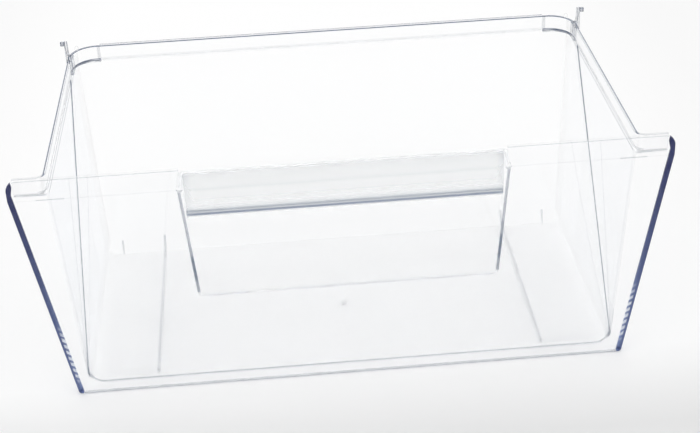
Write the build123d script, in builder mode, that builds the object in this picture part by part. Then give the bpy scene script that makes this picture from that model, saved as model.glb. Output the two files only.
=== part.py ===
"""Clear refrigerator drawer: a moulded bin, a thick front panel, a scooped handle pocket,
a frosted grip lip and two rear stops. Millimetres, +Z up, +X to the drawer's right,
+Y towards its back. The origin is the centre of the drawer's footprint."""

from build123d import *
from math import cos, radians, sin, tan
import os

# Overall size
overall_depth = 246.0
rim_height = 200.0
crease_height = 184.0

# Front panel
panel_thickness = 4.0
panel_lean = 4.6
panel_foot_half = 217.0
panel_half = 243.6
panel_shoulder_radius = 8.0
panel_foot_radius = 3.0
panel_edge_radius = 0.4
panel_bevel = 3.2

# Bin walls and floor, inside faces
wall = 2.2
floor_top = 9.0
shoulder_height = 186.0
floor_half = 205.5
shoulder_half = 213.0
floor_rear = 98.0
shoulder_rear = 115.3
plan_radius = 14.0
floor_fillet = 9.7

# Rim band round the top of the bin
rim_half = 217.2
rim_thickness = 2.2
rim_plan_radius = 22.0
rim_front_radius = 6.0
wing_half = 239.0
rim_mid_half = 192.5
rim_mid_outset = 3.0
rim_mid_lift = 0.8
ear_radius = 1.8
ear_rise = 4.0
ear_angle = 40.0

# Runner strips and ribs under the floor
strip_inner = 153.5
strip_outer = 193.5
strip_step = 1.0
strip_front_gap = 9.0
strip_rear_gap = 4.0
rib_thickness = 2.0
rib_end_radius = 5.0

# Mark of the mould's gate under the middle of the floor
gate_y = -19.0
gate_radius = 2.6
gate_depth = 0.5
gate_nub_radius = 0.9

# Side-wall gusset, a patch on the outside of the wall in front of a slanting line
gusset_step = 0.7
gusset_foot_height = 13.0
gusset_rear = 82.0

# Handle pocket
pocket_foot_height = 87.0
pocket_foot_half = 115.0
pocket_top_half = 122.0
pocket_corner_radius = 4.0
notch_half = 119.5
notch_height = 196.6
pocket_depth = 24.0
pocket_wall = 2.2
pocket_deep_height = 160.0
pocket_brow_radius = 14.0

# Grip lip
grip_half = 117.0
grip_foot_height = 161.5
grip_thickness = 2.2
grip_bead_radius = 2.6

# Rear stops
stop_front = 84.0
stop_length = 14.0
stop_rise = 19.0
stop_thickness = 2.4
stop_root_depth = 11.0
stop_head_reach = 3.2
stop_head_height = 3.4

# Derived places
lean_run = crease_height * tan(radians(panel_lean))
crease_front = -overall_depth / 2
foot_front = crease_front + lean_run
rim_rear = overall_depth / 2 - rim_mid_outset
panel_back = crease_front + panel_thickness
ahead = crease_front - 20.0
above = rim_height + 30.0


def lean_at(height, depth=0.0):
    """Y of the plane that lies depth behind the panel's leaning face, at a height."""
    return foot_front + depth - height * tan(radians(panel_lean))


def bevel_plane(side, low, high):
    """Plane of the 45 degree bevel behind a side edge of the panel, facing the panel."""
    edge = (high - low).normalized()
    inward = Vector(-side, 0, 0)
    inward = (inward - edge * inward.dot(edge)).normalized()
    forward = edge.cross(inward) * side
    start = low - forward * (panel_thickness - panel_bevel)
    return Plane(origin=start, x_dir=edge, z_dir=inward + forward)


def half_at(height):
    """Half width of the bin's inside at a height."""
    share = (height - floor_top) / (shoulder_height - floor_top)
    return floor_half + share * (shoulder_half - floor_half)


def rear_at(height):
    """Y of the bin's inside back wall at a height."""
    share = (height - floor_top) / (shoulder_height - floor_top)
    return floor_rear + share * (shoulder_rear - floor_rear)


def slab_along_x(points, half):
    """Solid with a side outline of (y, z) points, as wide as half to each side."""
    with BuildPart() as slab:
        with BuildSketch(Plane.YZ):
            with BuildLine():
                Polyline(*points, close=True)
            make_face()
        extrude(amount=half, both=True)
    return slab.part


def slab_along_y(points, foot_radius=0.0):
    """Solid with a front outline of (x, z) points for the right half, through the whole depth,
    and its outer foot corners rounded."""
    with BuildPart() as slab:
        with BuildSketch(Plane.XZ):
            with BuildLine():
                Polyline(*points, close=True)
            make_face()
            if foot_radius:
                fillet(vertices().group_by(Axis.Y)[0].sort_by(Axis.X)[-1], foot_radius)
            mirror(about=Plane.YZ)
        extrude(amount=overall_depth, both=True)
    return slab.part


def tub(inset, base, top):
    """Drafted block with rounded rear corners, inset from the bin's inside faces."""
    rear_low, rear_high = rear_at(base) - inset, rear_at(top) - inset
    half_low, half_high = half_at(base) - inset, half_at(top) - inset
    with BuildPart() as block:
        add(
            slab_along_x(
                [(ahead, base), (rear_low, base), (rear_high, top), (ahead, top)],
                overall_depth,
            )
        )
        add(
            slab_along_y([(0, base), (half_low, base), (half_high, top), (0, top)]),
            mode=Mode.INTERSECT,
        )
        upright = block.edges().filter_by(lambda edge: edge.bounding_box().size.Z > wall)
        fillet(upright.sort_by(Axis.Y)[-2:], plan_radius - inset)
        fillet(block.faces().sort_by(Axis.Z)[0].edges(), floor_fillet - inset)
    return block.part


def rim_line(wings):
    """Plan line of the rim band's outer face, with or without the wings behind the panel."""
    wing_face = panel_back + rim_thickness
    corner = rim_half - rim_plan_radius
    with BuildLine() as path:
        turn = RadiusArc(
            (-rim_half - rim_front_radius, wing_face),
            (-rim_half, wing_face + rim_front_radius),
            -rim_front_radius,
        )
        side = Line(turn @ 1, (-rim_half, rim_rear - rim_plan_radius))
        bend = RadiusArc(side @ 1, (-corner, rim_rear), rim_plan_radius)
        Line(bend @ 1, (0, rim_rear))
        if wings:
            Line((-wing_half, wing_face), turn @ 0)
        mirror(about=Plane.YZ)
    return path.line


# The bin: floor, walls, shoulder and rim band, open at the front, where the panel closes it
strip_front = lean_at(floor_top, panel_thickness) + strip_front_gap
strip_length = floor_rear - strip_rear_gap - strip_front
floor_under = floor_top - wall
ledge_top = shoulder_height + wall
rim_mid_depth = rim_thickness + rim_mid_outset
ear_reach = rim_plan_radius - rim_thickness / 2

with BuildPart() as bin_tub:
    add(tub(-wall, floor_under, ledge_top))

    # Side strips of the floor slope down to a step at their inner edges
    with BuildSketch(Plane.XZ.offset(-strip_front)):
        with BuildLine():
            Polyline(
                (strip_inner, floor_under - strip_step),
                (strip_outer, floor_under),
                (strip_outer, floor_top),
                (strip_inner, floor_top),
                close=True,
            )
        make_face()
        mirror(about=Plane.YZ)
    extrude(amount=-strip_length)

    # Shoulder ledge that carries the rim band
    with BuildSketch(Plane.XY.offset(shoulder_height)):
        with BuildLine():
            add(rim_line(wings=False))
            wing_root = rim_half + rim_front_radius
            Polyline(
                (-wing_root, panel_back + rim_thickness),
                (-wing_root, panel_back),
                (wing_root, panel_back),
                (wing_root, panel_back + rim_thickness),
            )
        make_face()
    extrude(amount=wall)

    # Inside of the bin, and of the sloping strips
    add(tub(0, floor_top, ledge_top + wall), mode=Mode.SUBTRACT)
    with BuildSketch(Plane.XZ.offset(-strip_front)):
        with BuildLine():
            Polyline(
                (strip_inner, floor_top - strip_step),
                (strip_outer, floor_top),
                (strip_outer, floor_top + strip_step),
                (strip_inner, floor_top + strip_step),
                close=True,
            )
        make_face()
        mirror(about=Plane.YZ)
    extrude(amount=-strip_length, mode=Mode.SUBTRACT)

    # Rim band, thicker along the middle of the back
    with BuildSketch(Plane.XY.offset(shoulder_height)):
        with BuildLine():
            offset(rim_line(wings=True), amount=rim_thickness, side=Side.RIGHT)
        make_face()
        with Locations((0, rim_rear - rim_thickness + rim_mid_depth / 2)):
            Rectangle(2 * rim_mid_half, rim_mid_depth)
    extrude(amount=rim_height - shoulder_height)
    with BuildSketch(Plane.XY.offset(shoulder_height)):
        with Locations((0, (shoulder_rear + rim_rear) / 2)):
            Rectangle(2 * rim_mid_half, rim_rear - shoulder_rear)
    extrude(amount=wall + rim_mid_lift)

    # A small ear on the rim at each rear corner
    ear_x = rim_half - rim_plan_radius + ear_reach * cos(radians(ear_angle))
    ear_y = rim_rear - rim_plan_radius + ear_reach * sin(radians(ear_angle))
    with BuildSketch(Plane.XY.offset(rim_height - ear_rise)):
        with Locations((-ear_x, ear_y), (ear_x, ear_y)):
            Circle(ear_radius)
    extrude(amount=2 * ear_rise)

    # Runner ribs under the inner edges of the strips
    for side in (-1, 1):
        with BuildSketch(Plane.YZ.offset(side * strip_inner)):
            with Locations((strip_front + strip_length / 2, floor_under / 2)):
                Rectangle(strip_length - 2 * rib_end_radius, floor_under)
            fillet(vertices().group_by(Axis.Y)[0], rib_end_radius)
        extrude(amount=side * rib_thickness)

    # Gate mark: a shallow round recess under the floor, with the cut gate's nub in it
    gate_plane = Plane.XY.offset(floor_under)
    with BuildSketch(gate_plane):
        with Locations((0, gate_y)):
            Circle(gate_radius)
            Circle(gate_nub_radius, mode=Mode.SUBTRACT)
    extrude(amount=gate_depth, mode=Mode.SUBTRACT)

    # The front is cut to the back of the panel
    add(
        slab_along_x(
            [
                (ahead, -floor_top),
                (lean_at(-floor_top, panel_thickness), -floor_top),
                (panel_back, crease_height),
                (panel_back, above),
                (ahead, above),
            ],
            overall_depth,
        ),
        mode=Mode.SUBTRACT,
    )

# Gussets: outside, the walls are a little thicker in front of a line from the floor's
# front corner to the rear end of the shoulder
with BuildPart() as gussets:
    add(tub(-wall - gusset_step, floor_under, shoulder_height))
    add(tub(-wall, floor_under, shoulder_height), mode=Mode.SUBTRACT)
    add(
        slab_along_x(
            [
                (lean_at(gusset_foot_height, panel_thickness), gusset_foot_height),
                (panel_back, crease_height),
                (panel_back, above),
                (gusset_rear, shoulder_height),
            ],
            overall_depth,
        ),
        mode=Mode.INTERSECT,
    )

with BuildPart() as bin:
    add(bin_tub.part)
    add(gussets.part)

# Front panel: one thick plate, leaning up to the crease and upright above it
pocket_shelf = crease_height + pocket_wall
pocket_outline = [
    (0, pocket_foot_height),
    (pocket_foot_half, pocket_foot_height),
    (pocket_top_half, crease_height),
    (pocket_top_half, pocket_shelf),
    (notch_half, pocket_shelf),
]
with BuildPart() as front_panel:
    add(
        slab_along_x(
            [
                (foot_front, 0),
                (crease_front, crease_height),
                (crease_front, rim_height),
                (panel_back, rim_height),
                (panel_back, crease_height),
                (foot_front + panel_thickness, 0),
            ],
            overall_depth,
        )
    )
    with BuildSketch(Plane.XZ):
        with BuildLine():
            Polyline(
                (-panel_foot_half, 0),
                (panel_foot_half, 0),
                (panel_half, crease_height),
                (panel_half, rim_height),
                (-panel_half, rim_height),
                (-panel_half, crease_height),
                close=True,
            )
        make_face()
        fillet(vertices().group_by(Axis.Y)[0], panel_foot_radius)
        fillet(vertices().group_by(Axis.Y)[-1], panel_shoulder_radius)
    extrude(amount=overall_depth, both=True, mode=Mode.INTERSECT)
    fillet(front_panel.faces().sort_by(Axis.Y)[0].edges().sort_by(Axis.Z)[-1], panel_edge_radius)

    # Wide bevels along the back of the side edges, narrowing round the top corners
    for side in (-1, 1):
        foot = Vector(side * panel_foot_half, foot_front, 0)
        crease = Vector(side * panel_half, crease_front, crease_height)
        split(bisect_by=bevel_plane(side, foot, crease))
        split(bisect_by=bevel_plane(side, crease, crease + Vector(0, 0, rim_height)))
    opening = pocket_outline + [(notch_half, above), (0, above)]
    add(slab_along_y(opening, pocket_corner_radius), mode=Mode.SUBTRACT)

# Handle pocket: a scoop behind the panel's opening, deepest under its brow
pocket_deep = crease_front + pocket_depth
brow_height = notch_height - 3 * pocket_wall
pocket_mouth = [
    (crease_front - panel_thickness, pocket_foot_height),
    (lean_at(pocket_foot_height), pocket_foot_height),
    (pocket_deep, pocket_deep_height),
    (pocket_deep, brow_height),
    (crease_front - panel_thickness, brow_height),
]


def scoop(grow, outline):
    """Scoop's inside grown by a thickness, within a front outline."""
    with BuildPart() as body:
        with BuildSketch(Plane.YZ):
            with BuildLine():
                Polyline(*pocket_mouth, close=True)
            make_face()
            fillet(vertices().sort_by(Axis.X)[-2:], pocket_brow_radius)
            if grow:
                offset(amount=grow)
        extrude(amount=pocket_top_half, both=True)
        foot_radius = pocket_corner_radius - pocket_wall + grow
        add(slab_along_y(outline, foot_radius), mode=Mode.INTERSECT)
    return body.part


notch_inner = notch_half - pocket_wall
with BuildPart() as handle_pocket:
    add(scoop(pocket_wall, pocket_outline + [(notch_half, notch_height), (0, notch_height)]))

    # Upstand along the top, which backs the grip
    with BuildSketch(Plane.YZ):
        with Locations((crease_front + grip_thickness + pocket_wall / 2, (brow_height + notch_height) / 2)):
            Rectangle(pocket_wall, notch_height - brow_height)
    extrude(amount=notch_half, both=True)
    add(
        scoop(
            0,
            [
                (0, pocket_foot_height),
                (pocket_foot_half - pocket_wall, pocket_foot_height),
                (pocket_top_half - pocket_wall, crease_height - pocket_wall),
                (notch_inner, crease_height),
                (notch_inner, notch_height),
                (0, notch_height),
            ],
        ),
        mode=Mode.SUBTRACT,
    )

    # Trimmed to the panel's face, and to the back of the grip between the notch's ends
    add(
        slab_along_x(
            [
                (ahead, 0),
                (foot_front, 0),
                (crease_front, crease_height),
                (crease_front, above),
                (ahead, above),
            ],
            overall_depth,
        ),
        mode=Mode.SUBTRACT,
    )
    with BuildSketch(Plane.XZ.offset(-crease_front)):
        with Locations((0, crease_height + rim_height / 2)):
            Rectangle(2 * notch_inner, rim_height)
    extrude(amount=-grip_thickness, mode=Mode.SUBTRACT)

# Grip: an upright band over the pocket that leans back below the crease and ends in a bead
with BuildPart() as handle_grip:
    with BuildSketch(Plane.YZ) as grip_section:
        with BuildLine():
            Polyline(
                (crease_front, crease_height),
                (crease_front, notch_height),
                (crease_front + grip_thickness, notch_height),
                (crease_front + grip_thickness, crease_height),
                (lean_at(grip_foot_height, grip_thickness), grip_foot_height),
                (lean_at(grip_foot_height), grip_foot_height),
                close=True,
            )
        make_face()
        with Locations((lean_at(grip_foot_height) + grip_bead_radius, grip_foot_height)):
            Circle(grip_bead_radius)
    extrude(amount=grip_half, both=True)
    fillet(handle_grip.edges().filter_by(Axis.X).group_by(Axis.Z)[-1], grip_thickness / 3)

# Rear stop: a fin on the end of the side rim, with a root that hangs inside the band
fin_foot = stop_front + stop_length
fin_top = rim_height + stop_rise
band_inner = rim_half - rim_thickness
with BuildPart() as rear_stop_right:
    with BuildSketch(Plane.YZ.offset(rim_half - stop_thickness)):
        with BuildLine():
            back = Line((stop_front, rim_height), (stop_front, fin_top))
            tip = Line(back @ 1, (stop_front + stop_head_height, fin_top))
            heel = Line((fin_foot, rim_height), (fin_foot, rim_height + rim_thickness))
            ThreePointArc(
                tip @ 1,
                (stop_front + stop_length / 2, rim_height + stop_rise / 3),
                heel @ 1,
            )
            Line(heel @ 0, back @ 0)
        make_face()
    extrude(amount=stop_thickness)
    with BuildSketch(Plane.YZ.offset(band_inner)):
        with Locations((stop_front + stop_length / 2, rim_height + (rim_thickness - stop_root_depth) / 2)):
            RectangleRounded(stop_length, rim_thickness + stop_root_depth, rim_thickness)
    extrude(amount=-rim_thickness)
    with BuildSketch(Plane.XY.offset(rim_height)):
        with Locations((band_inner, stop_front + stop_length / 2)):
            Rectangle(rim_thickness, stop_length - 2 * rim_thickness)
    extrude(amount=rim_thickness)
    with BuildSketch(Plane.YZ.offset(rim_half)):
        with Locations((stop_front + stop_head_height / 2, fin_top - stop_head_height / 2)):
            RectangleRounded(stop_head_height, stop_head_height, stop_head_height / 4)
    extrude(amount=stop_head_reach)

with BuildPart() as rear_stop_left:
    add(rear_stop_right.part)
    mirror(about=Plane.YZ, mode=Mode.REPLACE)

bin.part.label = "bin"
front_panel.part.label = "front_panel"
handle_pocket.part.label = "handle_pocket"
handle_grip.part.label = "handle_grip"
rear_stop_left.part.label = "rear_stop_left"
rear_stop_right.part.label = "rear_stop_right"

os.makedirs("parts", exist_ok=True)
export_step(bin.part, "parts/bin.step")
export_step(front_panel.part, "parts/front_panel.step")
export_step(handle_pocket.part, "parts/handle_pocket.step")
export_step(handle_grip.part, "parts/handle_grip.step")
export_step(rear_stop_left.part, "parts/rear_stop_left.step")
export_step(rear_stop_right.part, "parts/rear_stop_right.step")
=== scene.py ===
"""Dresses the clear refrigerator drawer: moulded bin, front panel, handle pocket, frosted
grip and rear stops, on a pale studio floor. Metres, +Z up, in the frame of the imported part.
The sizes in the classes are millimetres."""

import logging
import math
from collections.abc import Callable, Iterable
from dataclasses import dataclass
from enum import Enum
from typing import TypeAlias

import bmesh
import bpy
import numpy as np
from mathutils import Matrix, Vector

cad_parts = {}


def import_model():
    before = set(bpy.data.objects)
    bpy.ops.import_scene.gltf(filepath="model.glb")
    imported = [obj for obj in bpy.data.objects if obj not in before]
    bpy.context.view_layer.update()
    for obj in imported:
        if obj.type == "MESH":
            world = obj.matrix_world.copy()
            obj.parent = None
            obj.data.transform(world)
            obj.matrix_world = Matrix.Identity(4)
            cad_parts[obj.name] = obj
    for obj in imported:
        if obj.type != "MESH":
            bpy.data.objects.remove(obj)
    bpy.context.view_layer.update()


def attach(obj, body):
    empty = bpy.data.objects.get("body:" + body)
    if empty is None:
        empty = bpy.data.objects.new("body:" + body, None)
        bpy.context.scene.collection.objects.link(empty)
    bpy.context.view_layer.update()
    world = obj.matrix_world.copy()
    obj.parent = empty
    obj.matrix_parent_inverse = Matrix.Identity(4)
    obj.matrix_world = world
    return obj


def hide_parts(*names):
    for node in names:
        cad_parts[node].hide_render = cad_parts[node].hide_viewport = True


LOG = logging.getLogger("drawer")
MM = 0.001
# Face attribute with the strength of the painted shade lines along tight edges
SHADE_LINE = "line"
WHITE = (1.0, 1.0, 1.0)
# Radians of bend in a millimetre above which an edge gets a painted shade line, and the least
# distance in millimetres that they are taken over
LINE_BEND, LEAST_APART = 0.5, 0.05
# Millimetres within which points are merged and edges dissolved, and degrees above which an
# edge stays sharp
MERGE, DISSOLVE, SHARP = 0.004, 0.002, 32.0
# Share of the way across a front edge where its painted shade line ends
SHADE_INK_SHARE = 0.6
Colour: TypeAlias = tuple[float, float, float]
Point: TypeAlias = tuple[float, float]
Weigh: TypeAlias = Callable[[np.ndarray, np.ndarray], np.ndarray]
Value: TypeAlias = "Sock | float"


class Sock:
    """A shader socket that takes part in Python arithmetic; each operator adds a Math node."""

    def __init__(self, shader: "Shader", socket: bpy.types.NodeSocket) -> None:
        """Wraps an output socket of a shader's tree."""
        self.shader, self.socket = shader, socket

    def math(self, operation: str, *others: Value) -> "Sock":
        """This value and others, put through a Math node."""
        return self.shader.node("ShaderNodeMath", {"operation": operation}, self, *others)

    def __add__(self, other: Value) -> "Sock":
        """This value plus another."""
        return self.math("ADD", other)

    __radd__ = __add__

    def __sub__(self, other: Value) -> "Sock":
        """This value less another."""
        return self.math("SUBTRACT", other)

    def __rsub__(self, other: float) -> "Sock":
        """Another value less this one."""
        return self.shader.node("ShaderNodeMath", {"operation": "SUBTRACT"}, other, self)

    def __mul__(self, other: Value) -> "Sock":
        """This value times another."""
        return self.math("MULTIPLY", other)

    __rmul__ = __mul__

    def __truediv__(self, other: Value) -> "Sock":
        """This value divided by another."""
        return self.math("DIVIDE", other)

    def __abs__(self) -> "Sock":
        """This value without its sign."""
        return self.math("ABSOLUTE")

    def clamp(self) -> "Sock":
        """This value kept between 0 and 1."""
        return self.math("MAXIMUM", 0.0).math("MINIMUM", 1.0)

    def ramp(self, start: float, length: float) -> "Sock":
        """0 up to a start, climbing evenly to 1 over a length, which is negative to climb back."""
        return ((self - start) / length).clamp()

    def peak(self, place: float, reach: float) -> "Sock":
        """1 at a place, falling evenly to 0 at a reach from it."""
        return (1.0 - abs(self - place) / reach).clamp()


class Shader:
    """A node tree being written, for a material or for the world."""

    def __init__(self, tree: bpy.types.NodeTree) -> None:
        """Takes over a tree and clears it."""
        self.tree = tree
        tree.nodes.clear()

    def add(
        self, kind: str, settings: dict[str, object], *values: object, **sockets: object
    ) -> bpy.types.Node:
        """Adds one node, with its settings first and then its inputs.

        Args:
            kind: The node's type.
            settings: Properties of the node, such as an operation.
            values: Values or links of the first inputs, in order.
            sockets: Values or links, by socket name with underscores for spaces.

        Returns:
            The new node.
        """
        node = self.tree.nodes.new(kind)
        for name, value in settings.items():
            setattr(node, name, value)
        for target, value in zip(node.inputs, values):
            self.feed(target, value)
        for name, value in sockets.items():
            self.feed(node.inputs[name.replace("_", " ")], value)
        return node

    def node(
        self, kind: str, settings: dict[str, object], *values: object, out: int = 0, **sockets: object
    ) -> Sock:
        """Adds one node and wraps one of its outputs."""
        return Sock(self, self.add(kind, settings, *values, **sockets).outputs[out])

    def feed(self, target: bpy.types.NodeSocket, value: object) -> None:
        """Sets or links a node's input.

        Args:
            target: The input socket.
            value: A wrapped socket, a number or a colour.
        """
        if isinstance(value, Sock):
            self.tree.links.new(value.socket, target)
        else:
            target.default_value = (*value, 1.0) if isinstance(value, tuple) else value

    def blend(self, factor: Value, low: Sock | Colour, high: Sock | Colour) -> Sock:
        """Mixes two colours.

        Args:
            factor: The share of the second colour.
            low: The first colour.
            high: The second colour.

        Returns:
            The mixed colour.
        """
        node = self.add("ShaderNodeMix", {"data_type": "RGBA"}, Factor=factor)
        self.feed(node.inputs[6], low)
        self.feed(node.inputs[7], high)
        return Sock(self, node.outputs[2])

    def mix(self, factor: Value, first: Sock, second: Sock) -> Sock:
        """Mixes two surfaces by the share of the second."""
        return self.node("ShaderNodeMixShader", {}, factor, first, second)

    def noise(self, spot: Sock, scale: float, detail: float = 2.0) -> Sock:
        """Noise between 0 and 1 that changes about scale times in each unit of the position."""
        return self.node("ShaderNodeTexNoise", {}, Vector=spot, Scale=scale, Detail=detail)

    def bump(self, height: Sock, strength: float, distance: float) -> Sock:
        """A normal tilted by a height, whose full rise is a distance in millimetres."""
        return self.node("ShaderNodeBump", {}, Height=height, Strength=strength, Distance=distance * MM)

    def split(self, spot: Sock) -> list[Sock]:
        """The three parts of a vector."""
        return [Sock(self, part) for part in self.add("ShaderNodeSeparateXYZ", {}, spot).outputs]

    def straight(self) -> Sock:
        """A surface that light passes without turning."""
        return self.node("ShaderNodeBsdfTransparent", {}, Color=WHITE)


def new_shader(name: str) -> tuple[bpy.types.Material, Shader]:
    """Makes an empty node material.

    Args:
        name: The material's name.

    Returns:
        The material and its shader.
    """
    material = bpy.data.materials.new(name)
    material.use_nodes = True
    return material, Shader(material.node_tree)


@dataclass(frozen=True)
class DrawerSizes:
    """Sizes that several pieces share. The opening is the panel's, filled by the pocket, and
    the lip is the grip's. The gap is the play between pieces that touch."""

    depth: float = 246.0
    rim: float = 200.0
    rim_half: float = 217.2
    crease: float = 184.0
    lean: float = 4.6
    panel: float = 4.0
    panel_foot_half: float = 217.0
    panel_half: float = 243.6
    opening_foot: float = 87.0
    opening_foot_half: float = 115.0
    opening_half: float = 122.0
    opening_radius: float = 4.0
    notch_half: float = 119.5
    lip: float = 2.2
    lip_top: float = 196.6
    lip_bead: float = 161.5
    wall: float = 2.2
    gap: float = 0.06

    @property
    def front(self) -> float:
        """Y of the panel's upright face."""
        return -self.depth / 2

    @property
    def slope(self) -> float:
        """Tangent of the panel's lean."""
        return math.tan(math.radians(self.lean))

    @property
    def spread(self) -> float:
        """Sideways growth of the panel with height."""
        return (self.panel_half - self.panel_foot_half) / self.crease

    @property
    def opening_spread(self) -> float:
        """Sideways growth of the opening with height."""
        return (self.opening_half - self.opening_foot_half) / (self.crease - self.opening_foot)

    def face(self, height: np.ndarray | float, soft: float = 0.0) -> np.ndarray:
        """Y of the panel's face: level with the front above the crease, and below it further
        back by the drop times the tangent of the lean, with a parabola round the crease.

        Args:
            height: Heights of the points.
            soft: Half the height of the parabola.

        Returns:
            Y at each height.
        """
        drop = self.crease - np.asarray(height, dtype=float)
        back = np.maximum(drop, 0.0)
        if soft > 0.0:
            back = np.where(np.abs(drop) < soft, (drop + soft) ** 2 / (4.0 * soft), back)
        return self.front + back * self.slope


@dataclass(frozen=True)
class ClearPlastic:
    """Clear moulded plastic: it refracts, and part of the light passes straight through.
    A depth colour tints light that goes far inside, and tight edges get painted shade lines."""

    name: str
    sizes: DrawerSizes
    tint: Colour = (0.99, 0.995, 1.0)
    cloud: Colour = (0.95, 0.97, 0.99)
    depth_colour: Colour = (0.70, 0.80, 0.95)
    depth_density: float = 4.0
    ior: float = 1.45
    through: float = 0.84
    gloss: float = 0.01
    # Painted shade lines along tight edges: their colour, roughness and the share of light they let in
    line: Colour = (0.05, 0.08, 0.155)
    shade_line_rough: float = 0.15
    shade_line_clear: float = 0.4

    def place(self, shader: Shader) -> tuple[Sock, Sock, Sock, Sock]:
        """Position on the drawer in millimetres.

        Args:
            shader: The shader being written.

        Returns:
            Distance from the middle plane, Y, Z, and the position as a vector.
        """
        spot = shader.node("ShaderNodeTexCoord", {}, out=3)
        spot = shader.node("ShaderNodeVectorMath", {"operation": "SCALE"}, Vector=spot, Scale=1.0 / MM)
        across, along, up = shader.split(spot)
        return abs(across), along, up, spot

    def coat(self, shader: Shader, spot: Sock) -> tuple[Sock, Sock, Sock]:
        """What time leaves on the plastic: fine scuffs, faint clouds and a moulded wave.

        Args:
            shader: The shader being written.
            spot: Position in millimetres.

        Returns:
            Base colour, roughness and normal.
        """
        clouds, scuffs = shader.noise(spot, 0.02), shader.noise(spot, 0.9, 5.0)
        colour = shader.blend((clouds - 0.4).clamp() * 0.5, self.tint, self.cloud)
        rough = self.gloss + scuffs.ramp(0.62, 0.25) * 0.06
        return colour, rough, shader.bump(shader.noise(spot, 0.012, 1.0), 0.12, 0.5)

    def plastic(self, shader: Shader, colour: Value, rough: Value, normal: Sock, clear: float) -> Sock:
        """One surface of this plastic.

        Args:
            shader: The shader being written.
            colour: Base colour.
            rough: Roughness.
            normal: Normal.
            clear: The share of light that it lets in.

        Returns:
            The surface.
        """
        sockets = {"Base_Color": colour, "Roughness": rough, "IOR": self.ior, "Normal": normal}
        return shader.node("ShaderNodeBsdfPrincipled", {}, Transmission_Weight=clear, **sockets)

    def body(self, shader: Shader, colour: Sock, rough: Sock, normal: Sock) -> Sock:
        """The clear body: refracting plastic mixed with a straight view, and its painted shade lines.

        Args:
            shader: The shader being written.
            colour: Base colour.
            rough: Roughness.
            normal: Normal.

        Returns:
            The mixed surface.
        """
        glass = self.plastic(shader, colour, rough, normal, 1.0)
        # Painted shade: a dark blue surface mixed in along tight edges by the line attribute
        shade_ink = self.plastic(shader, self.line, self.shade_line_rough, normal, self.shade_line_clear)
        lines = shader.node("ShaderNodeAttribute", {"attribute_name": SHADE_LINE}, out=2)
        return shader.mix(lines, shader.mix(self.through, glass, shader.straight()), shade_ink)

    def finish(self, shader: Shader, surface: Sock) -> None:
        """Ends the tree with the surface and the colour that depth gives."""
        depth = shader.node("ShaderNodeVolumeAbsorption", {}, self.depth_colour, self.depth_density)
        shader.add("ShaderNodeOutputMaterial", {}, Surface=surface, Volume=depth)

    def material(self) -> bpy.types.Material:
        """Writes the material.

        Returns:
            The material.
        """
        material, shader = new_shader(self.name)
        spot = self.place(shader)[3]
        self.finish(shader, self.body(shader, *self.coat(shader, spot)))
        return material


@dataclass(frozen=True)
class PanelPlastic(ClearPlastic):
    """The front panel's plastic, whose bevelled sides are painted blue: the plastic's tint seen
    through its depth with painted shade, deep at the top, pale at the foot, with a painted
    lighter band on the inner half and short painted glints near the foot."""

    bevel: float = 3.35
    corner_bevel: float = 2.2
    corner_start: float = 188.0
    # Painted shade and light of the bevelled sides: deep and pale blues, a lighter inner band, and glints
    # with their spacing, slant, inner edge and top
    deep: Colour = (0.022, 0.03, 0.135)
    pale: Colour = (0.11, 0.155, 0.34)
    painted_inner_light: Colour = (0.25, 0.33, 0.60)
    glint: Colour = (0.90, 0.93, 1.0)
    glint_pitch: float = 6.0
    glint_lean: float = 1.6
    glint_edge: float = 1.35
    glint_top: float = 52.0

    def sides(self, across: Sock, along: Sock, up: Sock) -> tuple[Sock, Sock]:
        """The bevelled sides: within the bevel's width of the slanting edge, and behind the
        front face by more than its small radius.

        Args:
            across: Distance from the middle plane.
            along: Y.
            up: Z.

        Returns:
            Mask of the sides, and the distance from the slanting edge.
        """
        sizes = self.sizes
        drop = (sizes.crease - up).math("MAXIMUM", 0.0)
        depth = along - sizes.front - drop * sizes.slope
        inner = sizes.panel_foot_half + up * sizes.spread - across
        width = self.bevel + up.ramp(self.corner_start, 6.0) * self.corner_bevel
        return inner.math("LESS_THAN", width) * depth.math("GREATER_THAN", 0.5), inner

    def material(self) -> bpy.types.Material:
        """Writes the material.

        Returns:
            The material.
        """
        material, shader = new_shader(self.name)
        across, along, up, spot = self.place(shader)
        mask, inner = self.sides(across, along, up)
        grain = shader.noise(spot, 0.12, 3.0)
        # Painted shade: deep blue above, paler towards the foot, with noise
        tone = shader.blend((up.ramp(25.0, 150.0) + (grain - 0.5) * 0.5).clamp(), self.pale, self.deep)
        # Painted lighter band on the inner half of the sides, fading out upwards
        light = inner.ramp(1.4, 0.8) * (1.0 - up.ramp(0.0, 120.0))
        tone = shader.blend(light * 0.6, tone, self.painted_inner_light)
        # Painted glints: short slanting dashes on the inner half, near the foot
        beat = ((up + inner * self.glint_lean) / self.glint_pitch).math("FRACT")
        dash = beat.math("LESS_THAN", 0.3 + grain * 0.5) * inner.math("GREATER_THAN", self.glint_edge)
        span = up.ramp(8.0, 8.0) * (1.0 - up.ramp(self.glint_top, 16.0))
        tone = shader.blend(dash * span * (0.7 + grain * 0.3), tone, self.glint)
        rough = 0.25 + grain * 0.1
        side = shader.node("ShaderNodeBsdfPrincipled", {}, Base_Color=tone, Roughness=rough)
        clear = self.body(shader, *self.coat(shader, spot))
        self.finish(shader, shader.mix(mask, clear, side))
        return material


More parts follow.
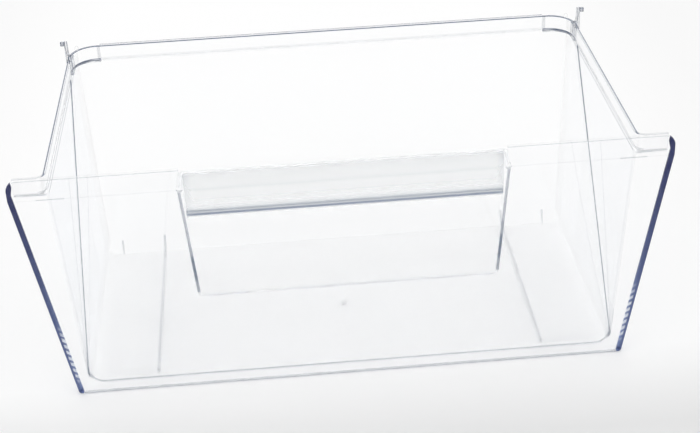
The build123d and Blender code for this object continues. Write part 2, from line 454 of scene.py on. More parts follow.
@dataclass(frozen=True)
class FrostedPlastic(ClearPlastic):
    """The frosted plastic of the grip: it scatters light. Painted shade makes it greyer towards its
    top, along its crease and at its ends, with a painted dark line and a painted glow above the bead."""

    through: float = 0.68
    clear: float = 0.55
    face: Colour = (0.97, 0.99, 1.0)
    # Painted shade: the greyer top, the crease, the glow and dark line by the bead, and the ends
    upper_shade: Colour = (0.93, 0.95, 0.95)
    crease_shade: Colour = (0.74, 0.80, 0.80)
    glow: Colour = (0.55, 0.62, 0.70)
    line: Colour = (0.11, 0.15, 0.26)
    end: Colour = (0.45, 0.51, 0.58)
    end_shade_start: float = 111.0

    def material(self) -> bpy.types.Material:
        """Writes the material.

        Returns:
            The material.
        """
        material, shader = new_shader(self.name)
        across, _, up, spot = self.place(shader)
        bead, crease = self.sizes.lip_bead, self.sizes.crease
        grain, clouds = shader.noise(spot, 1.6, 4.0), shader.noise(spot, 0.03)
        rise = up.ramp(bead, self.sizes.rim - bead)
        crease_shade, glow = up.peak(crease - 0.5, 3.2), up.peak(bead + 2.5, 5.0)
        lip, line = up.peak(bead - 2.4, 0.5), (up.peak(bead + 0.6, 1.5) * 1.8).clamp()
        # Painted shade: greyer towards the top with faint clouds, darker along the crease, a glow and dark
        # lines by the bead, and darker ends
        layers = (
            (rise * 0.6 + (clouds - 0.5) * 0.3, self.upper_shade),
            (crease_shade * crease_shade * 0.8, self.crease_shade),
            (glow * 0.55, self.glow),
            (lip * 0.5, self.line),
            (line * 0.95, self.line),
            (across.ramp(self.end_shade_start, 6.0) * 0.6, self.end),
        )
        tone = self.face
        for share, colour in layers:
            tone = shader.blend(share, tone, colour)
        body = self.plastic(shader, tone, 0.34 + grain * 0.12, shader.bump(grain, 0.15, 0.1), self.clear)
        through = (1.0 - line * 0.85) * (self.through + (1.0 - rise) * 0.1 - glow * 0.2)
        self.finish(shader, shader.mix(through, body, shader.straight()))
        return material


def quarter(count: int) -> np.ndarray:
    """Even angles from 0 to 90 degrees, in radians."""
    return np.radians(np.linspace(0.0, 90.0, count))


def arc(centre: Point, radius: float, first: float, last: float, steps: int) -> np.ndarray:
    """Points of a circular arc: the centre plus radius times (cosine, sine) of even angles.

    Args:
        centre: The arc's centre.
        radius: The arc's radius.
        first: Angle of the first point, in degrees.
        last: Angle of the last point, in degrees.
        steps: Number of segments.

    Returns:
        An array of steps + 1 points.
    """
    angle = np.radians(np.linspace(first, last, steps + 1))
    return np.asarray(centre) + radius * np.stack([np.cos(angle), np.sin(angle)], axis=-1)


def between(first: Point, last: Point, steps: int) -> np.ndarray:
    """Even points of a straight line, both ends included.

    Args:
        first: The line's first point.
        last: The line's last point.
        steps: Number of segments.

    Returns:
        An array of steps + 1 points.
    """
    share = np.linspace(0.0, 1.0, steps + 1)[:, None]
    return np.asarray(first) * (1.0 - share) + np.asarray(last) * share


def mitres(line: np.ndarray, closed: bool) -> np.ndarray:
    """Mitred left-hand normals of a plane line: the sum of the two edge normals at a point,
    divided by one plus their product, so that a shift by it moves both edges alike.

    Args:
        line: Points of the line.
        closed: Whether the last point joins the first.

    Returns:
        One vector for each point.
    """
    ahead = np.roll(line, -1, axis=0) - line
    normal = np.stack([-ahead[:, 1], ahead[:, 0]], axis=-1)
    normal /= np.maximum(np.linalg.norm(normal, axis=-1, keepdims=True), 1e-9)
    if not closed:
        normal[-1] = normal[-2]
    before = np.roll(normal, 1, axis=0)
    if not closed:
        before[0] = normal[0]
    return (normal + before) / np.maximum(1.0 + np.sum(normal * before, axis=-1, keepdims=True), 0.2)


def read(items: bpy.types.bpy_prop_collection, name: str, width: int = 1, kind: type = float) -> np.ndarray:
    """Reads a property of every item of a mesh.

    Args:
        items: The mesh's items.
        name: The property's name.
        width: How many numbers it holds.
        kind: The numbers' type.

    Returns:
        A row for each item, or a number where the width is 1.
    """
    values = np.empty(len(items) * width, dtype=kind)
    items.foreach_get(name, values)
    return values.reshape(-1, width) if width > 1 else values


def draw_shade_lines(mesh: bpy.types.Mesh, weigh: Weigh) -> None:
    """Marks the faces of tight edges with painted shade lines, which stand in for the dark look
    of moulded plastic's edges.

    A face's bend is the largest angle to a neighbour divided by the distance between the two
    faces' centres, so that it nears one over the edge's radius. Its line is the bend above
    LINE_BEND, kept below 1, times the place's weight. A weight above 1 marks flat faces too,
    with what exceeds 1.

    Args:
        mesh: The closed mesh.
        weigh: Gives the weight from the faces' centres, in millimetres, and normals.
    """
    faces, line = mesh.polygons, mesh.attributes[SHADE_LINE].data
    centre, normal = read(faces, "center", 3) / MM, read(faces, "normal", 3)
    owner = np.repeat(np.arange(len(faces)), read(faces, "loop_total", kind=int))
    order = np.argsort(read(mesh.loops, "edge_index", kind=int), kind="stable")
    first, second = owner[order].reshape(-1, 2).T
    angle = np.arccos(np.clip(np.sum(normal[first] * normal[second], axis=-1), -1.0, 1.0))
    apart = np.linalg.norm(centre[first] - centre[second], axis=-1)
    bend = np.zeros(len(faces))
    for side in (first, second):
        np.maximum.at(bend, side, angle / np.maximum(apart, LEAST_APART))
    weight = weigh(centre, normal)
    edges = np.clip(bend - LINE_BEND, 0.0, 1.0) * np.minimum(weight, 1.0)
    line.foreach_set("value", np.maximum.reduce([read(line, "value"), edges, weight - 1.0]))


def even(weight: float) -> Weigh:
    """Makes a rule that gives every place the same weight."""
    return lambda centre, normal: np.full(len(centre), weight)


def stand(name: str, data: bpy.types.ID) -> bpy.types.Object:
    """Puts a new object in the scene, at the origin.

    Args:
        name: The object's name.
        data: Its mesh or camera.

    Returns:
        The object.
    """
    thing = bpy.data.objects.new(name, data)
    bpy.context.scene.collection.objects.link(thing)
    return thing


class Skin:
    """Collects grids and flat caps of points, in millimetres, into one closed mesh."""

    def __init__(self) -> None:
        """Starts with no points."""
        self.points: list[np.ndarray] = []
        self.faces: list[list[int]] = []
        self.shade_ink: list[float] = []
        self.count = 0

    def add(self, points: np.ndarray, faces: Iterable[list[int]], shade_ink: list[float]) -> None:
        """Adds points and faces.

        Args:
            points: Any array of points whose last axis is x, y, z.
            faces: The faces' corners, counted from the first of these points.
            shade_ink: How strongly each face draws a painted shade line.
        """
        self.points.append(points.reshape(-1, 3))
        self.faces += [[corner + self.count for corner in face] for face in faces]
        self.shade_ink += shade_ink
        self.count += len(self.points[-1])

    def grid(
        self,
        points: np.ndarray,
        loop: bool = False,
        keep: np.ndarray | None = None,
        shade_ink: np.ndarray | float = 0.0,
    ) -> None:
        """Adds a grid of quads over rows and columns of points.

        Args:
            points: Rows by columns by x, y, z.
            loop: Whether the last column joins the first.
            keep: Which cells get a face, where not all do.
            shade_ink: How strongly its faces draw a painted shade line.
        """
        index = np.arange(points.size // 3).reshape(points.shape[:2])
        if loop:
            index = np.concatenate([index, index[:, :1]], axis=1)
        quads = np.stack([index[:-1, :-1], index[1:, :-1], index[1:, 1:], index[:-1, 1:]], axis=-1)
        keep = np.ones(quads.shape[:2], dtype=bool) if keep is None else keep
        self.add(points, quads[keep].tolist(), np.broadcast_to(shade_ink, keep.shape)[keep].tolist())

    def cap(self, points: np.ndarray) -> None:
        """Adds one flat face with these corners, in order."""
        self.add(points, [list(range(len(points)))], [0.0])

    def mirror(self) -> None:
        """Adds the mirror image of everything so far, in the plane x = 0."""
        points = np.concatenate(self.points) * np.array([-1.0, 1.0, 1.0])
        self.add(points, [face[::-1] for face in self.faces], list(self.shade_ink))

    def join(self, other: "Skin", across: float = 0.0) -> None:
        """Adds another skin, moved along X."""
        self.add(np.concatenate(other.points) + np.array([across, 0.0, 0.0]), other.faces, other.shade_ink)

    def build(self, name: str, weigh: Weigh) -> bpy.types.Object:
        """Makes the mesh object: merges shared points, turns faces outwards and shades it.

        Args:
            name: The piece's name.
            weigh: Gives the strength of painted shade lines along tight edges, by place.

        Returns:
            The new object, at the origin.
        """
        mesh = bpy.data.meshes.new(name)
        mesh.from_pydata((np.concatenate(self.points) * MM).tolist(), [], self.faces)
        mesh.attributes.new(SHADE_LINE, "FLOAT", "FACE").data.foreach_set("value", self.shade_ink)
        work = bmesh.new()
        work.from_mesh(mesh)
        bmesh.ops.remove_doubles(work, verts=work.verts, dist=MERGE * MM)
        bmesh.ops.dissolve_degenerate(work, edges=work.edges, dist=DISSOLVE * MM)
        bmesh.ops.recalc_face_normals(work, faces=work.faces)
        loose = [vertex for vertex in work.verts if not vertex.link_faces]
        bmesh.ops.delete(work, geom=loose, context="VERTS")
        odd_edges = sum(1 for edge in work.edges if len(edge.link_faces) != 2)
        work.to_mesh(mesh)
        work.free()
        mesh.shade_smooth()
        mesh.set_sharp_from_angle(angle=math.radians(SHARP))
        draw_shade_lines(mesh, weigh)
        piece = stand(name, mesh)
        piece.modifiers.new("flat_faces", "WEIGHTED_NORMAL").keep_sharp = True
        LOG.info("%s: %d faces, %d edges without two faces", name, len(mesh.polygons), odd_edges)
        return piece


def bar(section: np.ndarray, half: float, edge: float, steps: int) -> Skin:
    """A closed section in the YZ plane carried along X, with rounded end edges.

    Near each end the section is drawn in by edge times (1 - sine) of an angle while X nears
    the end by edge times (1 - cosine).

    Args:
        section: Closed line of (y, z) points, anticlockwise.
        half: Half the length.
        edge: Radius of the end edges.
        steps: Number of segments along half the length.

    Returns:
        The skin, with both ends.
    """
    turn = quarter(4)
    middle = np.linspace(half - edge, 0.0, steps + 1)[1:]
    across = np.concatenate([half - edge * (1.0 - np.cos(turn)), middle])
    inset = np.concatenate([edge * (1.0 - np.sin(turn)), np.zeros(steps)])
    line = section[None] + mitres(section, True)[None] * inset[:, None, None]
    places = np.broadcast_to(across[:, None, None], (*line.shape[:2], 1))
    rows = np.concatenate([places, line], axis=-1)
    skin = Skin()
    skin.grid(rows, loop=True)
    skin.cap(rows[0])
    skin.mirror()
    return skin


def settle(piece: bpy.types.Object, node: str) -> bpy.types.Object:
    """Makes a piece ride on the drawer's body and stand for its CAD node.

    Args:
        piece: The new piece.
        node: The CAD node's name.

    Returns:
        The piece.
    """
    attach(piece, "root")
    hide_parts(node)
    return piece


class Stretch(Enum):
    """Stretches of the path that the bin's wall section follows, from a wing to the back."""

    WING = 0
    WING_ARC = 1
    SIDE_FRONT = 2
    SIDE_EDGE = 3
    SIDE_REAR = 4
    CORNER = 5
    BACK = 6


@dataclass
class Bin:
    """The moulded bin: floor, drafted walls, shoulder and rim band with wings. Walls and
    floor are given by their inside faces, and the band by its outer face."""

    sizes: DrawerSizes
    floor_top: float = 9.0
    shoulder: float = 186.0
    floor_half: float = 205.5
    shoulder_half: float = 213.0
    floor_rear: float = 98.0
    shoulder_rear: float = 115.3
    plan_radius: float = 14.0
    fillet: float = 9.7
    rim_rear: float = 120.0
    rim_radius: float = 22.0
    wing_radius: float = 6.0
    wing_half: float = 239.0
    edge: float = 0.5
    # How far inside the walls the floor's own grid begins
    flat_inset: float = 12.0
    # The thicker stretch behind, and how much higher the shoulder is there
    mid_half: float = 192.5
    mid_outset: float = 3.0
    mid_lift: float = 0.8
    # Sunk floor strips: edges, depth of the inner edge, distance from the panel
    strip_inner: float = 153.5
    strip_outer: float = 193.5
    strip_step: float = 1.0
    strip_gap: float = 9.0
    rib: float = 2.0
    rib_radius: float = 5.0
    rib_rear: float = 84.0
    # Patch outside a side wall, in front of a line from the panel to the shoulder
    gusset: float = 0.7
    gusset_foot: float = 13.0
    gusset_rear: float = 82.0
    # Y, radius and depth of the gate's recess, and radius of its nub
    gate: tuple[float, float, float, float] = (-19.0, 2.6, 0.5, 0.9)
    # Half side of the square of floor round the gate
    gate_patch: float = 6.0
    # Radius and height of an ear, and its angle round the rear corner
    ear: tuple[float, float, float] = (1.8, 4.0, 40.0)
    # Strength of the painted shade line where the floor meets the panel, and width of the painted shade
    # line along the gusset
    shade_line_front: float = 0.5
    shade_line_width: float = 1.1

    def section(self) -> np.ndarray:
        """Lines of the wall section, from the floor's grid up the inside, over the rim band
        and down the outside. Fillets are quarter circles: radius times (1 - cosine) inwards
        and radius times (1 - sine) upwards.

        Returns:
            Rows of inset, height, band, outer, lift, strip and edge: the distance inside the
            wall's inner face or the band's outer face, the height, whether the line follows
            the band, whether it is outside, the share of the raised shoulder, the share of
            the sunk strips, and whether the line runs out along the wings.
        """
        wall, edge, rim = self.sizes.wall, self.edge, self.sizes.rim
        turn, small = quarter(9), quarter(4)
        back, rise, fall = turn[::-1], np.sin(small), np.cos(small)
        ledge, base, outside = self.shoulder + wall, self.floor_top - wall, self.fillet + wall

        def lines(inset: object, height: object, *marks: object) -> np.ndarray:
            """Stacks lines; marks are band, outer, lift, strip and edge."""
            columns = (inset, height, *marks, *(0.0,) * (5 - len(marks)))
            return np.stack(np.broadcast_arrays(*map(np.atleast_1d, columns)), axis=-1)

        return np.concatenate(
            [
                lines(self.flat_inset, self.floor_top, 0, 0, 0, 1),
                lines(
                    self.fillet * (1 - np.cos(back)),
                    self.floor_top + self.fillet * (1 - np.sin(back)),
                    *(0, 0, 0, np.sin(back)),
                ),
                lines(0.0, np.linspace(self.floor_top + self.fillet, ledge - edge, 7)[1:]),
                lines(edge * (fall[1:] - 1), ledge - edge + edge * rise[1:], 0, 0, 1, 0, [0, 0, 1]),
                lines(wall + edge - edge * rise, ledge + edge - edge * fall, 1, 0, 1),
                lines(wall - edge + edge * fall, rim - edge + edge * rise, 1),
                lines(wall / 2, rim, 1),
                lines(edge - edge * rise, rim - edge + edge * fall, 1, 1),
                lines(edge - edge * fall, self.shoulder + edge - edge * rise, 1, 1),
                lines(-wall, self.shoulder, 0, 1, 0, 0, 1),
                lines(-wall, np.linspace(self.shoulder - edge, base + outside, 9), 0, 1),
                lines(
                    outside * (1 - np.cos(turn[1:])) - wall,
                    base + outside * (1 - np.sin(turn[1:])),
                    *(0, 1, 0, np.sin(turn[1:])),
                ),
                lines(self.flat_inset, base, 0, 1, 0, 1),
            ]
        )

    def floor_front(self, height: float) -> float:
        """Y where the floor meets the panel's back, at a height."""
        return float(self.sizes.face(height)) + self.sizes.panel + self.sizes.gap

    def climb(self, height: np.ndarray) -> np.ndarray:
        """Share of the way up the gusset's line, at heights."""
        return (height - self.gusset_foot) / (self.shoulder - self.gusset_foot)

    def gusset_line(self, climb: np.ndarray) -> np.ndarray:
        """Y of the gusset's line, straight from the panel's back to its rear end."""
        foot = float(self.sizes.face(self.gusset_foot)) + self.sizes.panel
        return foot + climb * (self.gusset_rear - foot)

    def floor_lengths(self) -> np.ndarray:
        """Stations along the floor, from the panel to the rear fillet.

        Returns:
            Rows of Y, whether the strips are there, whether the ribs are, and the height of
            the ribs' lower edge, which falls by a quarter circle at each end.
        """
        first, last = self.floor_front(self.floor_top), self.floor_rear - self.flat_inset
        strip = first - self.sizes.gap + self.strip_gap
        front, rear, turn = strip + self.rib_radius, self.rib_rear, quarter(6)
        run, low = self.rib_radius * (1 - np.cos(turn)), self.rib_radius * (1 - np.sin(turn))
        gate = self.gate[0] + np.linspace(-self.gate_patch, self.gate_patch, 9)

        def stations(place: object, strip: float, rib: float = 0.0, height: object = 0.0) -> np.ndarray:
            """Stacks stations of the same marks."""
            columns = map(np.atleast_1d, (place, strip, rib, height))
            return np.stack(np.broadcast_arrays(*columns), axis=-1)

        return np.concatenate(
            [
                stations([first, strip], 0.0),
                stations([strip, front], 1.0),
                stations(front + run, 1.0, 1.0, low),
                stations(np.linspace(-70.0, -34.0, 4), 1.0, 1.0),
                stations(gate, 1.0, 1.0),
                stations(np.linspace(0.0, 66.0, 6), 1.0, 1.0),
                stations(rear - run[::-1], 1.0, 1.0, low[::-1]),
                stations([rear, last], 1.0),
            ]
        )

    def back_places(self) -> np.ndarray:
        """Stations across the back, from the corner to the middle.

        Returns:
            Rows of X, whether the thick stretch of the band is there, and whether a strip is,
            and a rib.
        """
        outer, inner = self.strip_inner + self.rib, self.strip_inner
        marked = [(self.mid_half, 0, 1, 0), (self.mid_half, 1, 1, 0), (outer, 1, 1, 0)]
        marked += [(outer, 1, 1, 1), (inner, 1, 1, 1), (inner, 1, 1, 0), (inner, 1, 0, 0)]
        plain = [*np.linspace(140.0, 20.0, 6), *np.linspace(self.gate_patch, 0.0, 5)]
        return np.array(marked + [(place, 1, 0, 0) for place in plain], dtype=float)

    def sunk(self, across: np.ndarray, strip: np.ndarray) -> np.ndarray:
        """Depth of a strip: its step times the share of the way in from its outer edge.

        Args:
            across: X of the points.
            strip: Whether a strip is there.

        Returns:
            The depth at each point.
        """
        share = (self.strip_outer - across) / (self.strip_outer - self.strip_inner)
        return self.strip_step * np.clip(share, 0.0, 1.0) * strip

    def walls(self) -> np.ndarray:
        """Carries the section along the right half's path: a wing, the arc into the side, the
        side, the corner and half the back. The wall's plan follows straight lines and a
        corner arc whose sizes grow with height by the draft; the band's plan is the same at
        every height.

        Returns:
            Points, section lines by stations.
        """
        inset, height, band, outer, lift, strip, edge = (c[:, None] for c in self.section().T)
        sizes, wall, one = self.sizes, self.sizes.wall, np.ones_like(inset)
        share = np.maximum(height - self.floor_top, 0.0) / (self.shoulder - self.floor_top)
        half = self.floor_half + share * (self.shoulder_half - self.floor_half) - inset
        rear = self.floor_rear + share * (self.shoulder_rear - self.floor_rear) - inset
        radius = np.maximum(self.plan_radius - inset, 0.0) * (inset < self.flat_inset)
        plans = ((half, sizes.rim_half), (rear, self.rim_rear), (radius, self.rim_radius))
        half, rear, radius = (np.where(band > 0, other - inset, own) for own, other in plans)
        front = np.where(band > 0, sizes.front, sizes.face(height)) + sizes.panel + sizes.gap
        wing_face = sizes.front + sizes.panel + wall
        wing_root = sizes.rim_half + self.wing_radius
        start = np.where(band > 0, wing_face + self.wing_radius, front)
        climb = np.clip(self.climb(height), 0.0, 1.0)
        line = np.where(climb > 0, self.gusset_line(climb), start)
        thick = half + self.gusset * outer * (1 - band) * (climb > 0)

        def follow(stretch: Stretch, share: np.ndarray) -> np.ndarray:
            """Points of one stretch.

            Args:
                stretch: The stretch.
                share: Shares of its length.

            Returns:
                Points, section lines by shares.
            """
            share = share[None, :]
            up = height * np.ones_like(share)
            if stretch in (Stretch.WING, Stretch.WING_ARC):
                turn = -0.5 * math.pi * (1 + share * (stretch is Stretch.WING_ARC))
                reach = self.wing_radius + inset
                straight = (self.wing_half - wing_root) * (1 - share) * (stretch is Stretch.WING)
                across = wing_root + reach * np.cos(turn) + straight
                along = wing_face + self.wing_radius + reach * np.sin(turn)
                inner = wing_root + (self.wing_radius + wall) * np.cos(turn) + straight
                flat = np.where(edge > 0, np.maximum(thick, inner), thick)
                across, along = np.where(band > 0, across, flat), np.where(band > 0, along, front)
            elif stretch is Stretch.SIDE_FRONT:
                across, along = thick, start + share * (line - start)
            elif stretch is Stretch.SIDE_EDGE:
                across, along = thick, np.maximum(line - self.shade_line_width * (1 - share), start)
            elif stretch is Stretch.SIDE_REAR:
                across, along = half, line + share * (rear - radius - line)
            elif stretch is Stretch.CORNER:
                turn = 0.5 * math.pi * share
                across = half - radius + radius * np.cos(turn)
                along = rear - radius + radius * np.sin(turn)
            else:
                place, mid, sunk, _ = self.back_places().T[:, None, :]
                across = np.minimum(place * one, half - radius)
                along = rear + self.mid_outset * band * outer * mid
                up = height + self.mid_lift * lift * mid - self.sunk(place, sunk) * strip
            return np.stack(np.broadcast_arrays(across, np.maximum(along, front), up), axis=-1)

        floor = self.floor_lengths()[:, 0]
        stretches = {
            Stretch.WING: np.linspace(0.0, 1.0, 4)[:-1],
            Stretch.WING_ARC: np.linspace(0.0, 1.0, 9),
            Stretch.SIDE_FRONT: np.linspace(0.0, 1.0, 9)[:-1],
            Stretch.SIDE_EDGE: np.array([0.0, 1.0]),
            Stretch.SIDE_REAR: (floor - floor[0]) / (floor[-1] - floor[0]),
            Stretch.CORNER: np.linspace(0.0, 1.0, 13)[1:],
            Stretch.BACK: np.zeros(1),
        }
        return np.concatenate([follow(stretch, share) for stretch, share in stretches.items()], axis=1)

    def floor_grids(self) -> tuple[np.ndarray, np.ndarray, np.ndarray]:
        """Top and underside of the floor: level, less the depth of the strips, and below it
        the ribs' lower edges.

        Returns:
            Points of the top, points of the underside, and which cells of the underside are
            outside the square round the gate.
        """
        place, strip, rib, low = self.floor_lengths().T[:, :, None]
        corner = np.array([[self.floor_half - self.flat_inset, 0.0, 1.0, 0.0]])
        columns = np.concatenate([corner, self.back_places()]).T[:, None, :]
        across, _, strip_across, rib_across = columns
        depth = self.sunk(across, strip_across) * strip
        base = self.floor_top - self.sizes.wall
        top = np.broadcast_arrays(across, place, self.floor_top - depth)
        shift = self.floor_front(base) - self.floor_front(self.floor_top)
        last = place[-1]
        under_place = place + shift * (last - place) / (last - place[0])
        under_height = np.where(rib * rib_across > 0, low, base - depth)
        under = np.broadcast_arrays(across, under_place, under_height)
        middles = place[:-1] + place[1:] - 2 * self.gate[0]
        inside = np.abs(middles) < 2 * self.gate_patch
        middle = across[:, :-1] + across[:, 1:] < 2 * self.gate_patch
        return np.stack(top, axis=-1), np.stack(under, axis=-1), ~(inside & middle)

    def gate_ring(self, under: np.ndarray, keep: np.ndarray) -> np.ndarray:
        """The gate's recess and nub, as rings that run out to the square round them: a ring's
        points are the gate's centre plus its radius times the direction of each point of the
        square's edge.

        Args:
            under: Points of the floor's underside.
            keep: Which cells lie outside the square.

        Returns:
            Rings by directions.
        """
        rows, columns = np.nonzero(~keep)
        first, last, left = rows.min(), rows.max() + 1, columns.min()
        sides = [under[first, left:][::-1], under[first + 1 : last, left], under[last, left:]]
        edge = np.concatenate(sides)
        centre = np.array([0.0, edge[:, 1].mean(), self.floor_top - self.sizes.wall])
        way = edge - centre
        way /= np.linalg.norm(way, axis=-1, keepdims=True)
        _, radius, depth, nub = self.gate
        rings = [(0.0, 0.0), (nub, 0.0), (nub, depth), (radius, depth), (radius, 0.0)]
        shape = [centre + way * reach + np.array([0.0, 0.0, rise]) for reach, rise in rings]
        return np.stack([*shape, edge])

    def right_ear(self) -> Skin:
        """The right ear: a post with a round top, turned about its own axis.

        Returns:
            The skin of the ear.
        """
        radius, height, angle = self.ear
        corner = (self.sizes.rim_half - self.rim_radius, self.rim_rear - self.rim_radius)
        centre = arc(corner, self.rim_radius - self.sizes.wall / 2, angle, angle, 0)[0]
        dome = arc((0.0, height - radius), radius, 0.0, 90.0, 6)
        profile = np.concatenate([[[0.0, 0.0], [radius, 0.0]], dome])
        around = np.linspace(0.0, 2 * math.pi, 24, endpoint=False)
        ring = np.stack([np.cos(around), np.sin(around)], axis=-1)
        plan = profile[:, :1, None] * ring[None]
        heights = np.broadcast_to(profile[:, 1:, None], (*plan.shape[:2], 1))
        skin = Skin()
        foot = np.array([*centre, self.sizes.rim + self.sizes.gap])
        skin.grid(np.concatenate([plan, heights], axis=-1) + foot, loop=True)
        return skin

    def skin(self) -> Skin:
        """Puts the bin together: walls, floor, gate and the edges against the panel.

        Returns:
            The closed skin.
        """
        walls = self.walls()
        top, under, keep = self.floor_grids()
        inner, outer = np.flatnonzero(self.section()[:, 6])
        skin = Skin()
        skin.grid(walls)
        skin.grid(top)
        skin.grid(under, keep=keep)
        skin.grid(self.gate_ring(under, keep))
        # The edges against the panel, of the walls and of the floor: the share nearer the inside carries a
        # painted shade line, stronger near the floor
        edges = ((walls[: inner + 1, 0], walls[outer:, 0][::-1]), (top[0], under[0]))
        for first, last in edges:
            middle = (1 - SHADE_INK_SHARE) * first + SHADE_INK_SHARE * last
            low = first[:-1, 2] < self.floor_top + 0.7 * self.fillet
            skin.grid(np.stack([first, middle]), shade_ink=np.where(low, self.shade_line_front, 0.05))
            skin.grid(np.stack([middle, last]))
        middle = (1 - SHADE_INK_SHARE) * walls[inner, 0] + SHADE_INK_SHARE * walls[outer, 0]
        skin.cap(np.concatenate([walls[inner : outer + 1, 0], [middle]]))
        skin.join(self.right_ear())
        skin.mirror()
        return skin

    def build(self) -> bpy.types.Object:
        """Builds the bin, standing for its CAD node."""
        return settle(self.skin().build("clear_bin", self.weigh), "bin")

    def weigh(self, centre: np.ndarray, normal: np.ndarray) -> np.ndarray:
        """Strength of painted shade lines along the bin's tight edges: strongest along the side
        rims, the gusset's rear step and the back's top.

        Args:
            centre: Centres of the faces.
            normal: Normals of the faces; not used.

        Returns:
            The weight of each face.
        """
        across, along, up = np.abs(centre[:, 0]), centre[:, 1], centre[:, 2]
        rim, rim_half, wall = self.sizes.rim, self.sizes.rim_half, self.sizes.wall
        top = up > rim - self.edge
        ledge = (up > self.shoulder - self.edge) & ~top
        back = along > self.rim_rear - self.rim_radius
        middle = back & (across < self.mid_half)
        near = along < self.rim_rear - wall / 2
        step = (np.abs(across - self.strip_inner) < 0.01) & (np.abs(up - self.floor_top) < 0.9)
        step &= along < self.floor_rear - self.flat_inset
        wing = (across > rim_half) & (along < -100.0)
        climb = self.climb(up)
        gusset = np.abs(along - self.gusset_line(climb) + self.shade_line_width / 2) < self.shade_line_width
        share = (up - self.floor_top) / (self.shoulder - self.floor_top)
        outside = across > self.floor_half + share * (self.shoulder_half - self.floor_half) + 1.2
        rules = [
            (up > rim + 0.01, 0.0),
            (gusset & outside & (np.abs(climb - 0.5) < 0.499), 1.8 - 0.35 * climb),
            (wing & ledge & (up < self.shoulder + 0.1), 1.2),
            (wing, 0.3),
            (top & middle & near, 1.75),
            (top & middle, 1.2),
            (ledge & middle, 0.12),
            (top & back & near, 1.6),
            (top & back, 1.1),
            (ledge & back, 0.9),
            (top & (across > rim_half - wall / 2), 1.9),
            (top | ledge, 0.3),
            (step, 1.65),
        ]
        return np.select([rule for rule, _ in rules], [weight for _, weight in rules], 0.2)


